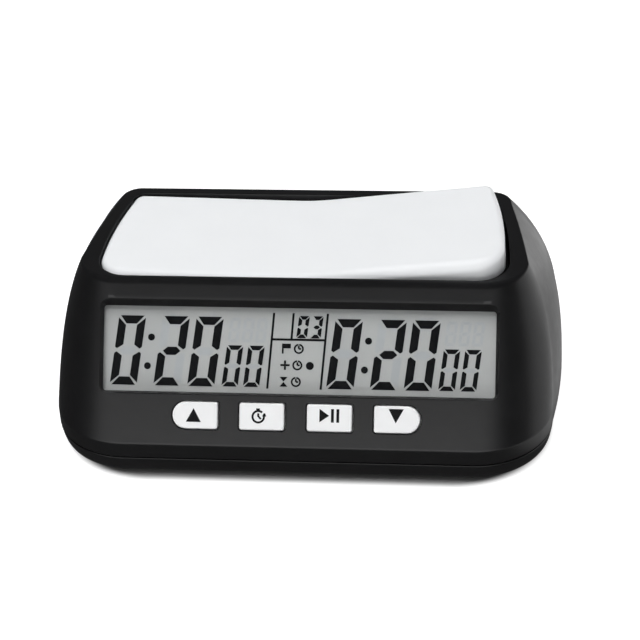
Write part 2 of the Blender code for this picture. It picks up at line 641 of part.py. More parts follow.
# ---------------------------------------------------------------- rocker switch board
def switch_board():
    low, high = SWITCH_BOARD_Z
    board = box("switch_board", (-53, LEG_Y - 5, low), (53, LEG_Y + 5, high), "circuit_green")
    for name, side in (("left", -1), ("right", 1)):
        x = SWITCH_SCREW_X * side
        cut(board, rod(f"switch_board_hole_{side}", (x, LEG_Y, 30), (x, LEG_Y, 45), BOARD_HOLE_RADIUS, sides=12))
        screw("switch_board_screw_" + name, (x, LEG_Y, low - GAP), 2.0, 1.3, 0.9, 5.2)
        press = 0.25 if side < 0 else 0.0
        tact_switch(name + "_rocker", (LEG_X * side, LEG_Y), high + GAP, 42.05, 44.0, press=press)


# ---------------------------------------------------------------- battery, power switch, feet, screws
def battery():
    low, high = BATTERY_X
    cell = rod("battery_cell", (low, BATTERY_Y, BATTERY_Z), (high - 1.2, BATTERY_Y, BATTERY_Z), BATTERY_RADIUS,
               "battery_sleeve", sides=32)
    join(cell, rod("battery_button", (high - 1.4, BATTERY_Y, BATTERY_Z), (high, BATTERY_Y, BATTERY_Z), 2.75,
                   sides=20))
    box("battery_contact", (high + GAP, BATTERY_Y - 5, 6.5), (high + GAP + 0.4, BATTERY_Y + 5, 17.5), "steel")
    turns, steps = 4, 12
    outer = -BAY_HALF[0] + 0.8
    coil = []
    for i in range(turns * steps + 1):
        share = i / (turns * steps)
        angle = 2 * math.pi * turns * share
        radius = mix(4.2, 2.2, share)
        coil.append(Vector((mix(outer, low - 0.8, share), BATTERY_Y + radius * math.cos(angle),
                            BATTERY_Z + radius * math.sin(angle))))
    wire("battery_spring", coil, 0.35, "steel")


def power_switch():
    box("power_switch", (POWER_X - 6, POWER_Y - 3, FLOOR_TOP_Z + GAP), (POWER_X + 6, POWER_Y + 3, 8.0), "steel")
    knob_x = POWER_X - 2.0
    knob = box("power_knob", (knob_x - 2.2, POWER_Y - 1.5, 1.2), (knob_x + 2.2, POWER_Y + 1.5, 3.2), "switch_black")
    for i in (-1, 0, 1):
        x = knob_x + 1.2 * i
        cut(knob, box(f"knob_groove_{i}", (x - 0.25, POWER_Y - 3, 0), (x + 0.25, POWER_Y + 3, 1.5)))


def feet_and_screws():
    for spot, (x, y) in FOOT_SPOTS.items():
        rod("foot_" + spot, (x, y, 0), (x, y, FOOT_RECESS_Z - GAP), FOOT_RADII[0], "rubber_grey", sides=28,
            end_radius=FOOT_RADII[1])
    for spot, (x, y) in SCREW_SPOTS.items():
        screw("housing_screw_" + spot, (x, y, HEAD_SEAT_Z), 2.4, 1.8, 1.3, 10.0)


def wiring():
    roof = BAY_ROOF_Z + BAY_SKIN
    black = [(-CONTACT_X, BATTERY_Y, roof - 3), (-CONTACT_X, BATTERY_Y, roof + 2), (-26, 11, roof + 6),
             (-22, 2, 25), (-20, -8.5, 24)]
    red = [(CONTACT_X, BATTERY_Y, roof - 3), (CONTACT_X, BATTERY_Y, roof + 2), (28, 11, roof + 6),
           (29, 2, 25), (30, -8.5, 24)]
    cable = [(-12, LEG_Y, SWITCH_BOARD_Z[0] - 1.2), (-12, 6, 33), (-10, 0, 30), (-8, -7, 28)]
    wire("battery_wire_black", smooth_path(black), 0.6, "wire_black")
    wire("battery_wire_red", smooth_path(red), 0.6, "wire_red")
    wire("switch_cable", smooth_path(cable), 0.9, "cable_grey")


upper_housing()
lower_housing()
battery_door()
rocker()
rocker_pin()
display()
keys()
switch_board()
battery()
power_switch()
feet_and_screws()
wiring()
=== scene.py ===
"""Looks for the digital chess clock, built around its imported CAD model.

Shapes are written in millimetres in the clock's own frame: X to the right, Y to the back, Z up, with the
origin on the table under the middle of the clock. MM turns them into Blender's metres.
"""
import math

import bmesh
import bpy
from mathutils import Matrix, Vector


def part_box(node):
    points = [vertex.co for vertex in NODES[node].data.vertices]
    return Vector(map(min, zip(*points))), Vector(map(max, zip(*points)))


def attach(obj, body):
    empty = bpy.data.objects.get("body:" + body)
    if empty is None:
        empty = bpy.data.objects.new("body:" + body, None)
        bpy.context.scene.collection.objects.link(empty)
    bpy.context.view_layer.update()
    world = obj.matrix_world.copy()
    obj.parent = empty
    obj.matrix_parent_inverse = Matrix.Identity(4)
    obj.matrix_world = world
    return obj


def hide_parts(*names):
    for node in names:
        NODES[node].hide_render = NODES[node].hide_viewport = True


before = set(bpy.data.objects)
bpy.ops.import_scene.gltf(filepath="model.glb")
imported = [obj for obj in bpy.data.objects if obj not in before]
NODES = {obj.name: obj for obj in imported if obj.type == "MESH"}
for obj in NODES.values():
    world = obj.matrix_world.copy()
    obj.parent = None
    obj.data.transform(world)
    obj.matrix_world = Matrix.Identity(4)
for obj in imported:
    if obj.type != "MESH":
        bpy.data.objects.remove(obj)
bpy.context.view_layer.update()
MM = 0.001


# ---------------------------------------------------------------- places read from the CAD
def box_mm(node):
    """Lowest and highest corner of a CAD node, in millimetres."""
    low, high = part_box(node)
    return low / MM, high / MM


def middle(node):
    low, high = box_mm(node)
    return (low + high) / 2


def nodes_named(start):
    return sorted(name for name in NODES if name.startswith(start))


def centres(start):
    """Centres of the nodes whose names begin alike, seen from above."""
    return [tuple(middle(name))[:2] for name in nodes_named(start)]


# ---------------------------------------------------------------- driving dimensions
GAP = 0.3                     # clearance between neighbouring pieces
HALF_DEPTH = box_mm("upper_housing")[1].y
FOOT_HEIGHT = box_mm("lower_housing")[0].z
SEAM_Z = box_mm("upper_housing")[0].z - GAP / 2
DECK_Z = box_mm("upper_housing")[1].z
CREASE_Z = 12.2               # foot of the sloped panel
CREASE_RADIUS = 1.3
WALL = 2.2
PANEL_TILT = 54.0             # slope of the display panel, degrees from level
FOLD_RADIUS = 3.0             # rounding between the panel and the deck
RIM_RADIUS = 0.7              # outer edge of the deck at the sides and back
LIP_RADIUS = 0.35             # edge of the rocker's pocket
SEAM_EASE = 0.4

# half widths and corner radii of the body, at the deck and at the seam
DECK_HALF = (67.5, 64.7, 61.2)
SEAM_HALF = (75.5, 77.7, 76.1)
DECK_BACK_Y = 35.7
DECK_RADII = (12.0, 6.1)
SEAM_RADII = (23.5, 15.2)
SIDE_BULGE = 2.74
BACK_BULGE = 2.0
BASE_TUCK = 2.4

# rocker, in its middle position
ROCKER_HALF = (61.0, 59.9, 56.7)
ROCKER_Y = (-13.2, 31.7)
ROCKER_RADII = (8.5, 3.5)
ROCKER_WING = 4.0             # rise of each wing from the valley, degrees
ROCKER_TILT = 2.75            # swing to each side, degrees
ROCKER_VALLEY_Z = 51.2
ROCKER_VALLEY_HALF = 6.0      # half width of the rounded valley
ROCKER_SKIRT_Z = 48.0
ROCKER_SKIN = 2.0
ROCKER_FRONT_EDGE = 3.2
ROCKER_SIDE_EDGE = 1.9
POCKET_GAP = 0.9
POCKET_FLOOR_Z = 44.7
TROUGH_Y = (-5.0, 29.5)
TROUGH_HALF = 5.0
TROUGH_FLOOR_Z = 40.9
TROUGH_WALL = 1.5
AXLE_Z = 44.6
BORE_RADIUS = 1.55
LUG_RADIUS = 3.0
LUG_CENTRES_Y = (0.0, 24.0)
LUG_WIDTH = 5.0
LEG_X = 48.0
LEG_Y = 10.8
LEG_SIZE = 4.0
LEG_FOOT_Z = 46.45
LEG_CLEARANCE = 1.6           # around each leg where it passes through the pocket floor

# display and keys: x, distance up the panel from the crease, and depth behind its face
FRAME_HALF = 60.3
FRAME_SPAN = (15.2, 43.4)
OPENING_HALF = 58.5
OPENING_SPAN = (15.9, 41.2)
PANE_DEPTH = (2.5, 3.3)
LCD_DEPTH = (3.6, 5.4)
KEY_SPAN = (5.1, 13.0)
INNER_KEY_X = (3.4, 16.75)
OUTER_KEY_X = (23.3, 36.8)
KEY_PROUD = 0.9
KEY_EDGE = 0.45
KEY_GAP = 0.35
KEY_FLANGE = 0.8
KEY_STEM_DEPTH = 3.9

# screws, feet, battery bay and power switch
SWITCH_SCREW_X = 35.0         # screws that hold the rocker's switch board, left and right
SWITCH_POST_RADIUS = 2.5
SMALL_BORE_RADIUS = 1.2
SCREW_POST_RADIUS = 3.0
SCREW_BORE_RADIUS = 1.6
HEAD_RECESS = (2.9, 4.4)      # recess of each housing screw's head: radius and top
COLUMN = (4.0, 6.1)           # columns in the base that carry the screw heads: radius and top
FOOT_RECESS = (4.8, 2.0)
FOOT_PAD = (6.3, 4.2)         # thickened floor over each foot: radius and top
BAY_HALF = (29.6, 8.1)        # inside half length and half width
BAY_ROOF_Z = 19.2
BAY_WALL = 1.5
BAY_SKIN = 1.4
CONTACT_X = 28.2              # wire slots in the bay roof, left and right
CONTACT_SLOT = (0.9, 1.6)     # half sizes
DOOR_GROOVES = (5, 1.6)       # count and pitch of the finger grooves
NOTCH_HALF = 6.0              # finger notch in front of the door
POWER_SLOT = (4.6, 1.9)       # half sizes
POWER_RECESS = (6.5, 3.4)

PANEL = (Matrix.Translation(Vector((0, -HALF_DEPTH, CREASE_Z)) * MM)
         @ Matrix.Rotation(math.radians(PANEL_TILT), 4, "X"))
ROCKER_FRAME = (Matrix.Translation((0, 0, AXLE_Z * MM))
                @ Matrix.Rotation(math.radians(-ROCKER_TILT), 4, "Y"))


# ---------------------------------------------------------------- outlines
def mix(a, b, share):
    return a + (b - a) * share


def smooth_step(share):
    share = min(max(share, 0.0), 1.0)
    return share * share * (3 - 2 * share)


def quarter_round(steps):
    """Along a quarter arc, the shares of its radius gone one way and left to go the other way."""
    angles = [math.radians(90 * i / steps) for i in range(steps + 1)]
    return [(1 - math.cos(a), 1 - math.sin(a)) for a in angles]


def arc(centre, radius, start, end, steps):
    angles = [math.radians(start + (end - start) * i / steps) for i in range(steps + 1)]
    return [(centre[0] + radius * math.cos(a), centre[1] + radius * math.sin(a)) for a in angles]


CORNER_STEPS = (28, 18)
SIDE_STEPS = 16


def keystone(halves, front, back, radii, stations=()):
    """Outline with straight front and back, bowed sides and round corners, counter-clockwise.

    halves holds the half width behind the front corner, half way back, and before the back corner.
    stations are extra points on the straight edges, as distances from the middle.
    """
    fore, half_way, aft = halves
    front_radius, back_radius = radii
    right = [(x, front) for x in stations]
    right += arc((fore - front_radius, front + front_radius), front_radius, -90, 0, CORNER_STEPS[0])
    start, end = front + front_radius, back - back_radius
    for i in range(1, SIDE_STEPS):
        t = i / SIDE_STEPS
        x = fore * (1 - t) * (1 - 2 * t) + half_way * 4 * t * (1 - t) + aft * t * (2 * t - 1)
        right.append((x, start + (end - start) * t))
    right += arc((aft - back_radius, back - back_radius), back_radius, 0, 90, CORNER_STEPS[1])
    right += [(x, back) for x in reversed(stations)]
    return right + [(-x, y) for x, y in reversed(right) if x > 0]


def front_share(count, stations=()):
    """For each point of a keystone outline: 1 on the front edge, fading to 0 round the front corners."""
    lead = len(stations)
    tail = len([x for x in stations if x > 0])
    shares = []
    for i in range(count):
        step = min(i - lead, count - 1 - i - tail)
        shares.append(1 - smooth_step(step / CORNER_STEPS[0]))
    return shares


def round_rect(x_span, y_span, radius, far_radius=None):
    """Rectangle with round corners, counter-clockwise. far_radius rounds the corners at the high x end."""
    far = radius if far_radius is None else far_radius
    (x0, x1), (y0, y1), steps = x_span, y_span, 10
    return (arc((x1 - far, y0 + far), far, -90, 0, steps)
            + arc((x1 - far, y1 - far), far, 0, 90, steps)
            + arc((x0 + radius, y1 - radius), radius, 90, 180, steps)
            + arc((x0 + radius, y0 + radius), radius, 180, 270, steps))


def at_height(outline, z):
    return [(x, y, z) for x, y in outline]


# ---------------------------------------------------------------- meshes
def walls(shape, loops):
    """Faces between equal-count loops. Gives back the loops' corners."""
    rings = [[shape.verts.new(Vector(point) * MM) for point in loop] for loop in loops]
    for lower, upper in zip(rings, rings[1:]):
        for i in range(len(lower)):
            j = (i + 1) % len(lower)
            shape.faces.new((lower[i], lower[j], upper[j], upper[i]))
    return rings


def skin(loops, place=None):
    """A closed mesh through equal-count loops, lowest first, with both ends capped."""
    shape = bmesh.new()
    rings = walls(shape, loops)
    shape.faces.new(reversed(rings[0]))
    shape.faces.new(rings[-1])
    return mesh_from(shape, place)


def mesh_from(shape, place=None):
    if place:
        bmesh.ops.transform(shape, matrix=place, verts=shape.verts)
    mesh = bpy.data.meshes.new("shape")
    shape.to_mesh(mesh)
    shape.free()
    return mesh


def block(low, high, place=None):
    shape = bmesh.new()
    bmesh.ops.create_cube(shape, size=1.0)
    size = [(b - a) * MM for a, b in zip(low, high)]
    centre = [(a + b) / 2 * MM for a, b in zip(low, high)]
    bmesh.ops.transform(shape, matrix=Matrix.Translation(centre) @ Matrix.Diagonal((*size, 1)),
                        verts=shape.verts)
    return mesh_from(shape, place)


def block_at(x, y, half, low, high):
    """A block centred on x, y, from its half sizes and its lowest and highest height."""
    return block((x - half[0], y - half[1], low), (x + half[0], y + half[1], high))


def rod(start, end, radius, place=None):
    start, end = Vector(start) * MM, Vector(end) * MM
    run = end - start
    turn = run.to_track_quat("Z", "Y").to_matrix().to_4x4()
    shape = bmesh.new()
    bmesh.ops.create_cone(shape, cap_ends=True, segments=40, radius1=radius * MM, radius2=radius * MM,
                          depth=run.length, matrix=Matrix.Translation((start + end) / 2) @ turn)
    return mesh_from(shape, place)


def uprights(places, low, size):
    """Upright rods at places, from a height, with size as radius and top."""
    radius, top = size
    return [rod((x, y, low), (x, y, top), radius) for x, y in places]


def turned(profile, base, axis=(0, 0, 1), sides=48):
    """A closed turned solid. profile holds (distance along the axis, radius) from one end to the other."""
    turn = Vector(axis).to_track_quat("Z", "Y").to_matrix().to_4x4()
    loops = [[(radius * math.cos(2 * math.pi * i / sides), radius * math.sin(2 * math.pi * i / sides), along)
              for i in range(sides)] for along, radius in profile]
    return skin(loops, Matrix.Translation(Vector(base) * MM) @ turn)


def gathered(meshes):
    """One mesh that holds several, which are dropped."""
    shape = bmesh.new()
    for mesh in meshes:
        shape.from_mesh(mesh)
        bpy.data.meshes.remove(mesh)
    return mesh_from(shape)


def linked(name, data):
    """An object in the scene."""
    thing = bpy.data.objects.new(name, data)
    bpy.context.scene.collection.objects.link(thing)
    return thing


def piece(name, mesh, look, body="root", replaces=(), smooth=32.0):
    """A shown piece of the clock."""
    thing = linked(name, mesh)
    mesh.name = name
    mesh.materials.clear()
    mesh.materials.append(LOOKS[look])
    for polygon in mesh.polygons:
        polygon.use_smooth = True
    mesh.set_sharp_from_angle(angle=math.radians(smooth))
    normals = thing.modifiers.new("even_shading", "WEIGHTED_NORMAL")
    normals.keep_sharp = True
    normals.weight = 100
    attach(thing, body)
    if replaces:
        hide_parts(*replaces)


def carved(mesh, steps):
    """A mesh after exact Booleans. steps holds ("UNION" or "DIFFERENCE", meshes that don't meet) pairs."""
    thing = linked("blank", mesh)
    tools = []
    for operation, meshes in steps:
        tools.append(linked("tool", gathered(meshes)))
        change = thing.modifiers.new(operation.lower(), "BOOLEAN")
        change.object = tools[-1]
        change.operation = operation
        change.solver = "EXACT"
    bpy.context.view_layer.update()
    result = bpy.data.meshes.new_from_object(thing.evaluated_get(bpy.context.evaluated_depsgraph_get()))
    for old in (thing, *tools):
        bpy.data.objects.remove(old, do_unlink=True)
    return result


# ---------------------------------------------------------------- materials
LOOKS = {}


def add_node(tree, kind, inputs, **settings):
    """A shader node. inputs gives each socket, by name or number, a value or a link from another node."""
    made = tree.nodes.new("ShaderNode" + kind)
    for setting, value in settings.items():
        setattr(made, setting, value)
    for socket, value in inputs.items():
        if isinstance(value, bpy.types.NodeSocket):
            tree.links.new(value, made.inputs[socket])
        else:
            made.inputs[socket].default_value = value
    return made


def colour_ramp(tree, factor, stops):
    """Colours at positions along a factor."""
    made = add_node(tree, "ValToRGB", {"Fac": factor})
    elements = made.color_ramp.elements
    while len(elements) < len(stops):
        elements.new(0.5)
    for element, (position, colour) in zip(elements, stops):
        element.position = position
        element.color = (*colour, 1.0)
    return made.outputs["Color"]


class Graph:
    """A Principled material and the few kinds of node that its detail is made of."""

    def __init__(self, name, **sockets):
        self.material = bpy.data.materials.new(name)
        self.material.use_nodes = True
        self.tree = self.material.node_tree
        self.shader = self.tree.nodes["Principled BSDF"]
        for socket, value in sockets.items():
            self.shader.inputs[socket.replace("_", " ")].default_value = value
        self.place = self.tree.nodes.new("ShaderNodeTexCoord").outputs["Object"]
        LOOKS[name] = self.material

    def node(self, kind, inputs, **settings):
        return add_node(self.tree, kind, inputs, **settings)

    def noise(self, grain, detail=2.0, stretch=(1, 1, 1)):
        """Noise whose features are about grain millimetres across."""
        scaled = self.node("Mapping", {"Vector": self.place, "Scale": stretch}).outputs[0]
        return self.node("TexNoise", {"Vector": scaled, "Scale": 1 / (grain * MM),
                                      "Detail": detail}).outputs["Fac"]

    def ramp(self, factor, stops):
        return colour_ramp(self.tree, factor, stops)

    def between(self, factor, low, high, source=(0.3, 0.7)):
        return self.node("MapRange", {"Value": factor, "From Min": source[0], "From Max": source[1],
                                      "To Min": low, "To Max": high}).outputs["Result"]

    def blend(self, factor, first, second):
        """One colour over another. A Mix node keeps its colour sockets at 6 and 7, and its result at 2."""
        return self.node("Mix", {0: factor, 6: first, 7: second}, data_type="RGBA").outputs[2]

    def relief(self, height, depth):
        """Surface relief of about depth millimetres, added to any relief that is there already."""
        bump = self.node("Bump", {"Height": height, "Distance": depth * MM, "Strength": 1.0})
        socket = self.shader.inputs["Normal"]
        if socket.is_linked:
            self.tree.links.new(socket.links[0].from_socket, bump.inputs["Normal"])
        self.tree.links.new(bump.outputs["Normal"], socket)

    def colour(self, value):
        self.tree.links.new(value, self.shader.inputs["Base Color"])

    def roughness(self, value):
        self.tree.links.new(value, self.shader.inputs["Roughness"])


def plain_look(name, dark, light, roughness, grain, relief, **sockets):
    """Colour, roughness and relief that vary with noise. grain and relief are (wide, fine) sizes in mm."""
    graph = Graph(name, **sockets)
    wide = graph.noise(grain[0], detail=3)
    fine = graph.noise(grain[1], detail=2)
    graph.colour(graph.ramp(wide, ((0.3, dark), (0.7, light))))
    graph.roughness(graph.between(graph.noise(grain[0] * 0.4, detail=4), *roughness))
    graph.relief(wide, relief[0])
    graph.relief(fine, relief[1])
    return graph


def make_looks():
    housing = plain_look("housing", (0.0036, 0.0036, 0.0040), (0.0050, 0.0050, 0.0056), (0.35, 0.39),
                         (9, 0.42), (0.0006, 0.010))
    specks = housing.node("TexVoronoi", {"Vector": housing.place, "Scale": 1 / (0.9 * MM)})
    housing.relief(specks.outputs["Distance"], 0.006)
    plain_look("rocker", (0.855, 0.870, 0.885), (0.870, 0.885, 0.900), (0.29, 0.33), (14, 0.8),
               (0.0015, 0.0003))
    plain_look("key", (0.90, 0.905, 0.91), (0.92, 0.925, 0.93), (0.36, 0.46), (4, 0.35), (0.003, 0.003))
    plain_look("key_ink", (0.0045, 0.0045, 0.005), (0.007, 0.007, 0.0075), (0.55, 0.65), (1.2, 0.2),
               (0.001, 0.002), Specular_IOR_Level=0.15)
    plain_look("window", (0.82, 0.85, 0.86), (0.86, 0.88, 0.89), (0.03, 0.07), (22, 3), (0.0006, 0.0002),
               Transmission_Weight=1.0, Alpha=0.12, IOR=1.49)
    plain_look("lcd", (0.470, 0.484, 0.480), (0.510, 0.520, 0.512), (0.32, 0.42), (16, 0.15),
               (0.0005, 0.0012), Coat_Weight=0.15)
    plain_look("segment", (0.0035, 0.0038, 0.0045), (0.0055, 0.0058, 0.0068), (0.5, 0.6), (3, 0.2),
               (0.0004, 0.0006), Specular_IOR_Level=0.12)
    plain_look("ghost", (0.440, 0.462, 0.475), (0.465, 0.488, 0.500), (0.35, 0.45), (3, 0.2),
               (0.0004, 0.0006))
    steel = plain_look("steel", (0.56, 0.56, 0.57), (0.68, 0.68, 0.69), (0.22, 0.38), (2.5, 0.12),
                       (0.002, 0.001), Metallic=1.0)
    steel.relief(steel.noise(0.25, stretch=(1, 1, 14)), 0.0012)
    plain_look("rubber", (0.022, 0.022, 0.022), (0.040, 0.040, 0.040), (0.75, 0.92), (1.5, 0.2),
               (0.006, 0.012))
    silicone = Graph("silicone", Roughness=0.6)
    layers = silicone.node("TexWave", {"Vector": silicone.place, "Scale": 320.0, "Distortion": 0.4},
                           bands_direction="X").outputs["Fac"]
    silicone.colour(silicone.ramp(layers, ((0.45, (0.62, 0.10, 0.07)), (0.55, (0.04, 0.035, 0.035)))))
    silicone.relief(silicone.noise(0.6), 0.01)
    make_board_look()
    plain_look("epoxy", (0.008, 0.008, 0.008), (0.016, 0.016, 0.016), (0.18, 0.38), (2.5, 0.5), (0.05, 0.006))
    plain_look("switch_plastic", (0.014, 0.014, 0.015), (0.026, 0.026, 0.027), (0.42, 0.58), (3, 0.25),
               (0.004, 0.006))
    make_battery_look()
    plain_look("wire_red", (0.42, 0.012, 0.010), (0.55, 0.025, 0.018), (0.38, 0.52), (4, 0.4), (0.01, 0.004))
    plain_look("wire_black", (0.010, 0.010, 0.011), (0.020, 0.020, 0.021), (0.38, 0.52), (4, 0.4),
               (0.01, 0.004))
    cable = plain_look("cable", (0.28, 0.28, 0.29), (0.40, 0.40, 0.41), (0.45, 0.60), (4, 0.4), (0.01, 0.004))
    strands = cable.node("TexWave", {"Vector": cable.place, "Scale": 260.0}, bands_direction="X")
    cable.relief(strands.outputs["Fac"], 0.02)


def make_board_look():
    """Solder mask over copper lands, a little lighter along the tracks."""
    graph = Graph("circuit_board", IOR=1.5)
    tracks = graph.node("TexBrick", {"Vector": graph.place, "Scale": 110.0, "Mortar Size": 0.012,
                                     "Color1": (0, 0, 0, 1), "Color2": (0, 0, 0, 1), "Mortar": (1, 1, 1, 1)},
                        offset=0.35).outputs["Color"]
    pads = graph.node("TexVoronoi", {"Vector": graph.place, "Scale": 240.0}).outputs["Distance"]
    mask = graph.ramp(graph.noise(5, detail=3), ((0.3, (0.010, 0.105, 0.040)), (0.7, (0.016, 0.150, 0.058))))
    tracked = graph.blend(tracks, mask, (0.03, 0.23, 0.09, 1))
    tinned = graph.ramp(pads, ((0.10, (1, 1, 1)), (0.13, (0, 0, 0))))
    graph.colour(graph.blend(tinned, tracked, (0.55, 0.56, 0.54, 1)))
    graph.roughness(graph.between(graph.noise(1.5), 0.28, 0.42))
    graph.relief(tracks, 0.02)
    graph.relief(graph.noise(0.3), 0.002)


def make_battery_look():
    """A printed sleeve: dark body, copper end band and a thin pale line between them."""
    graph = Graph("battery", Metallic=0.55)
    low, high = box_mm("battery_cell")
    along = graph.node("SeparateXYZ", {"Vector": graph.place}).outputs["X"]
    share = graph.between(along, 0.0, 1.0, (low.x * MM, high.x * MM))
    body, line, band = (0.035, 0.045, 0.060), (0.62, 0.60, 0.52), (0.56, 0.25, 0.09)
    stops = ((0.0, body), (0.66, body), (0.665, line), (0.68, line), (0.685, band), (1.0, band))
    printed = graph.ramp(share, stops)
    scuffs = graph.between(graph.noise(0.9, detail=5), 0.0, 0.35, (0.62, 0.8))
    graph.colour(graph.blend(scuffs, printed, (0.5, 0.5, 0.5, 1)))
    graph.roughness(graph.between(graph.noise(3, detail=4), 0.22, 0.40))
    graph.relief(graph.noise(6), 0.02)


# ---------------------------------------------------------------- housing
SLOPE = math.tan(math.radians(PANEL_TILT))


def front_y(z):
    """Front face of the body at a height: upright skirt, eased crease, sloped panel."""
    run = CREASE_RADIUS * math.tan(math.radians((90 - PANEL_TILT) / 2))
    if z <= CREASE_Z - run:
        return -HALF_DEPTH
    if z >= CREASE_Z + run * math.sin(math.radians(PANEL_TILT)):
        return -HALF_DEPTH + (z - CREASE_Z) / SLOPE
    rise = z - (CREASE_Z - run)
    return -HALF_DEPTH + CREASE_RADIUS - math.sqrt(CREASE_RADIUS ** 2 - rise ** 2)


def base_tuck(z):
    """The base draws in slightly below the seam and more at its rounded bottom edge."""
    if z >= SEAM_Z:
        return 0.0
    drop, draft = (SEAM_Z - z) / (SEAM_Z - FOOT_HEIGHT), 1.1
    return draft * drop + (BASE_TUCK - draft) * drop ** 6


def body_section(z, inset=0.0):
    """Outline of the body at a height, drawn in by inset."""
    rise = max(z - SEAM_Z, 0) / (DECK_Z - SEAM_Z)
    side = 1 - rise ** SIDE_BULGE
    rear = 1 - rise ** BACK_BULGE
    tuck = inset + base_tuck(z)
    halves = [mix(top, bottom, side) - tuck for top, bottom in zip(DECK_HALF, SEAM_HALF)]
    back = mix(DECK_BACK_Y, HALF_DEPTH, rear) - tuck
    front_radius = mix(DECK_RADII[0], SEAM_RADII[0], side) - tuck
    back_radius = mix(DECK_RADII[1], SEAM_RADII[1], rear) - tuck
    sloped = -HALF_DEPTH + (z - CREASE_Z) / SLOPE + inset / math.sin(math.radians(PANEL_TILT))
    front = max(-HALF_DEPTH + tuck, sloped) if inset else front_y(z) + tuck
    return at_height(keystone(halves, front, back, (front_radius, back_radius)), z)


def pocket_outline(grow, stations=()):
    """Plan of the rocker, grown outwards."""
    halves = [half + grow for half in ROCKER_HALF]
    radii = [radius + grow for radius in ROCKER_RADII]
    return keystone(halves, ROCKER_Y[0] - grow, ROCKER_Y[1] + grow, radii, stations)


def seam_rounding(z, upward):
    """Loops that round a wall's edge at the seam: from the drawn-in end face out to the wall, or back."""
    loops = []
    for gone, left in quarter_round(5):
        inset, rise = (left, gone) if upward else (gone, -left)
        loops.append(body_section(z + SEAM_EASE * rise, SEAM_EASE * inset))
    return loops


def deck_rim():
    """Loops from the outer wall over the rounded edge of the deck and down into the rocker's pocket."""
    edge = [Vector(point) for point in body_section(DECK_Z)]
    drawn_in = [Vector(point) for point in body_section(DECK_Z, 1.0)]
    below = [Vector(point) for point in body_section(DECK_Z - 1.0)]
    steps, paths = 14, []
    for corner, inner, wall, share in zip(edge, drawn_in, below, front_share(len(edge))):
        radius = mix(RIM_RADIUS, FOLD_RADIUS, share)
        inward, down = (inner - corner).normalized(), (wall - corner).normalized()
        turn = math.pi - inward.angle(down)
        reach = radius * math.tan(turn / 2)
        across = (down - inward * down.dot(inward)).normalized()
        angles = [turn * (1 - i / steps) for i in range(steps + 1)]
        paths.append([corner + inward * (reach - radius * math.sin(a)) + across * radius * (1 - math.cos(a))
                      for a in angles])
    loops = [list(ring) for ring in zip(*paths)]
    for gone, left in quarter_round(6):
        loops.append(at_height(pocket_outline(POCKET_GAP + LIP_RADIUS * left), DECK_Z - LIP_RADIUS * gone))
    loops.append(at_height(pocket_outline(POCKET_GAP), POCKET_FLOOR_Z))
    return loops


def upper_shell():
    """Upper housing: one wall from the inner roof, round the seam edge, up the outside, into the pocket."""
    roof_z, board_z, front_post_z, screw_end_z, seam_edge = 42.5, 39.3, 18.2, 15.5, SEAM_Z + GAP / 2
    inner = [body_section(z, WALL) for z in (roof_z, *range(40, 13, -3), 14, 12, 10, seam_edge)]
    outer = seam_rounding(seam_edge, True)
    run = CREASE_RADIUS * 0.5
    heights = [8.5, 10, CREASE_Z - 1.4 * run] + [CREASE_Z - run + run * i / 5 for i in range(11)]
    heights += [14 + 1.9 * i for i in range(20)]
    outer += [body_section(z) for z in heights]
    shell = skin(inner + outer + deck_rim())
    posts = [rod((x, y, seam_edge + 0.1), (x, y, roof_z + 1 if y > 0 else front_post_z), SCREW_POST_RADIUS)
             for x, y in centres("housing_screw")]
    trough = block((-TROUGH_HALF - TROUGH_WALL, TROUGH_Y[0] - TROUGH_WALL, TROUGH_FLOOR_Z - TROUGH_WALL),
                   (TROUGH_HALF + TROUGH_WALL, TROUGH_Y[1] + TROUGH_WALL, roof_z + 1))
    inside = [block((-TROUGH_HALF, TROUGH_Y[0], TROUGH_FLOOR_Z), (TROUGH_HALF, TROUGH_Y[1], 50))]
    reach = LEG_SIZE / 2 + LEG_CLEARANCE
    inside += [block_at(x, LEG_Y, (reach, reach), 40, 47) for x in (-LEG_X, LEG_X)]
    switch_screws = [(x, LEG_Y) for x in (-SWITCH_SCREW_X, SWITCH_SCREW_X)]
    switch_posts = uprights(switch_screws, board_z, (SWITCH_POST_RADIUS, roof_z + 1))
    inside += uprights(switch_screws, 36, (SMALL_BORE_RADIUS, 43))
    inside += uprights(centres("housing_screw"), 5, (SCREW_BORE_RADIUS, screw_end_z))
    inside += key_openings()
    pin_low, pin_high = box_mm("rocker_pin")
    bore = rod((0, pin_low.y - 1.8, AXLE_Z), (0, pin_high.y + 0.6, AXLE_Z), BORE_RADIUS)
    pane_seat = panel_seat(61.1, (14.0, 43.5), (2.1, PANE_DEPTH[1] + GAP))
    lcd_seat = panel_seat(60.3, (14.2, 42.2), (3.0, LCD_DEPTH[1] + GAP))
    mesh = carved(shell, (("UNION", posts), ("UNION", [trough, *switch_posts]), ("DIFFERENCE", inside),
                          ("DIFFERENCE", [bore]), ("DIFFERENCE", [window_recess()]),
                          ("DIFFERENCE", [pane_seat]), ("DIFFERENCE", [lcd_seat])))
    piece("upper_shell", mesh, "housing", replaces=["upper_housing"])


def panel_seat(half, span, depths):
    """A cutter behind the panel: its half width, its span up the panel and its depths below the face."""
    return block((-half, span[0], -depths[1]), (half, span[1], -depths[0]), PANEL)


